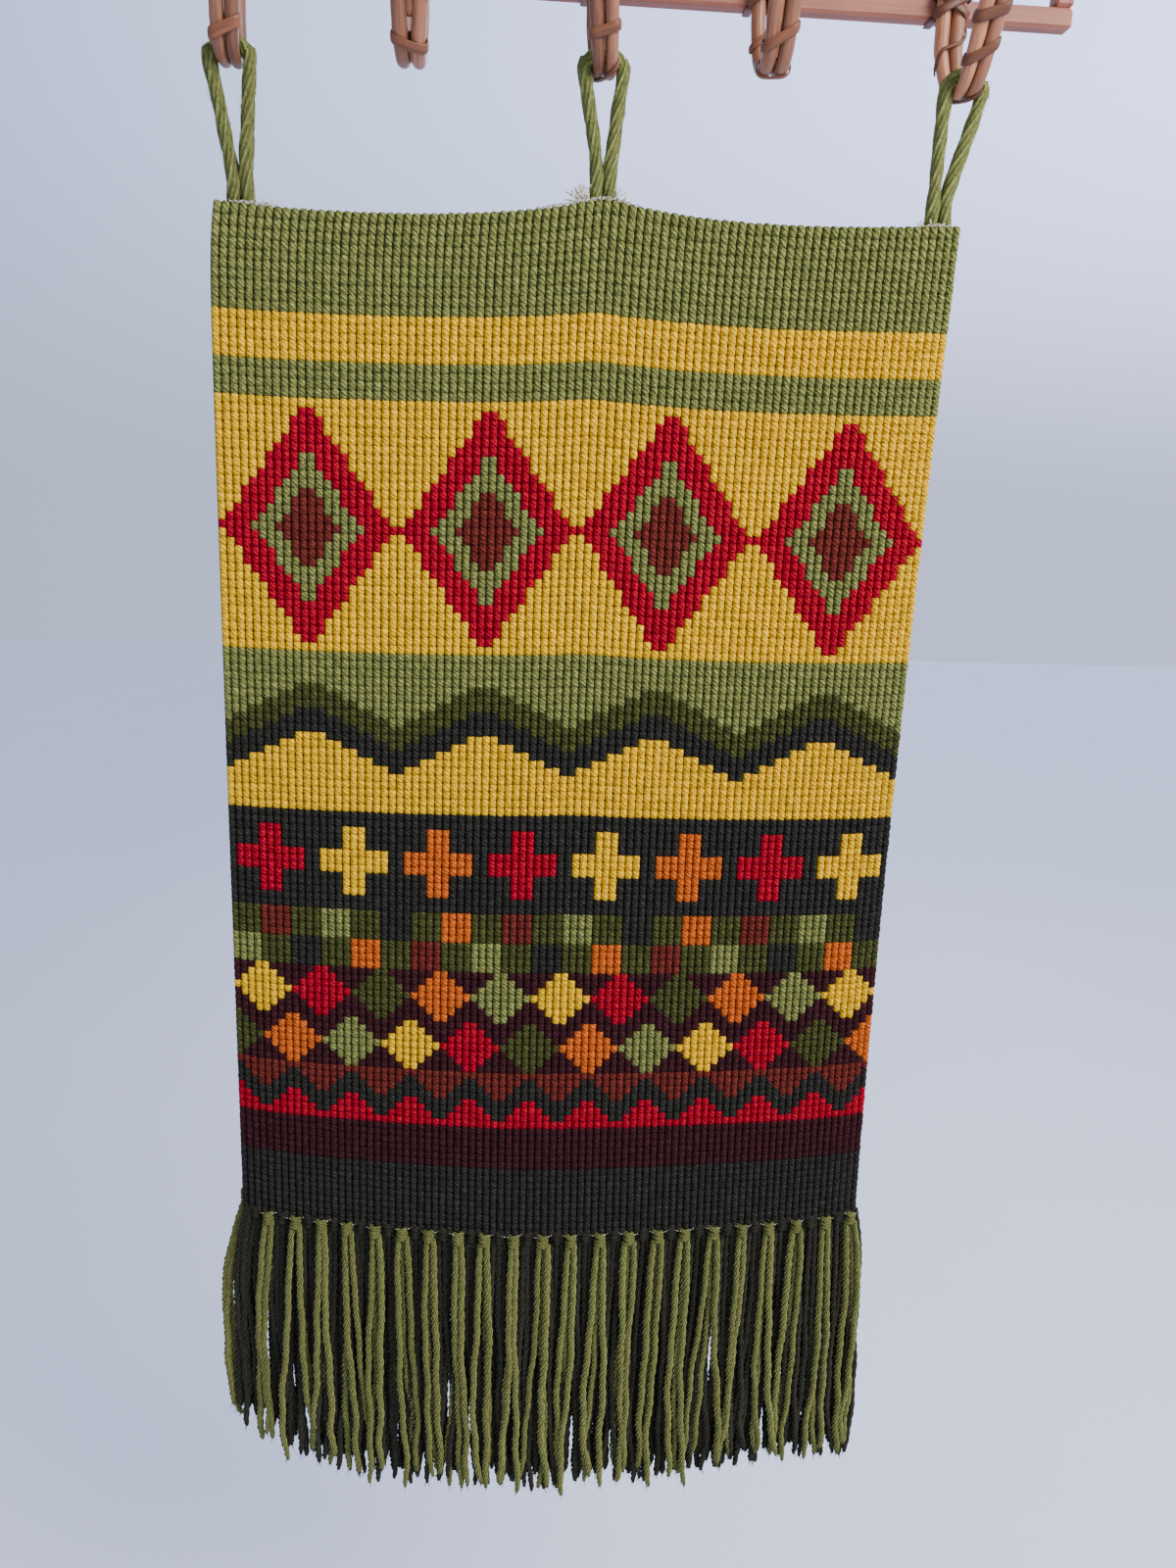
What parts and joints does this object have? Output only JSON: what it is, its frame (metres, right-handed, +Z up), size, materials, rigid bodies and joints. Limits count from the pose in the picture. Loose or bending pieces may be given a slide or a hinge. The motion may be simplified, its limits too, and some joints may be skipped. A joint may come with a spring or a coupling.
{
  "type": "textile wall hanging with hook rack",
  "caption": "Cross-stitched wool wall hanging with stepped geometric bands and a long yarn fringe, hung by cord loops from a plain cane hook rack.",
  "frame": {"origin": "middle of the lower rail's back face, which lies on the wall", "axes": "+Z up, along the hanging's length; +Y into the wall; +X to the viewer's right"},
  "size_m": [0.585, 0.0842, 1.1509],
  "materials": {
    "panel_wool": "plump wool cross stitches in several colours",
    "light_yarn": "twisted light green wool yarn",
    "dark_yarn": "twisted dark green wool yarn",
    "loop_yarn": "twisted green wool cord",
    "rail_wood": "pinkish tan stick, lightly varnished",
    "cane": "peeled cane, satin",
    "peel": "flat cane peel, satin"
  },
  "bodies": {
    "root": {"panel": "panel_wool", "fringe_light": "light_yarn", "fringe_dark": "dark_yarn", "loop_left": "loop_yarn", "loop_middle": "loop_yarn", "loop_right": "loop_yarn", "rail_lower": "rail_wood", "rail_upper": "rail_wood", "upright_left": "rail_wood", "upright_right": "rail_wood", "hook_1_cane_left": "cane", "hook_1_cane_right": "cane", "hook_1_binding_lower": "peel", "hook_1_binding_upper": "peel", "hook_1_wrap": "peel", "hook_2_cane_left": "cane", "hook_2_cane_right": "cane", "hook_2_binding_lower": "peel", "hook_2_binding_upper": "peel", "hook_2_wrap": "peel", "hook_3_cane_left": "cane", "hook_3_cane_right": "cane", "hook_3_binding_lower": "peel", "hook_3_binding_upper": "peel", "hook_3_wrap": "peel", "hook_4_cane_left": "cane", "hook_4_cane_right": "cane", "hook_4_binding_lower": "peel", "hook_4_binding_upper": "peel", "hook_4_wrap": "peel", "hook_5_cane_left": "cane", "hook_5_cane_right": "cane", "hook_5_binding_lower": "peel", "hook_5_binding_upper": "peel", "hook_5_wrap": "peel"}
  },
  "joints": []
}
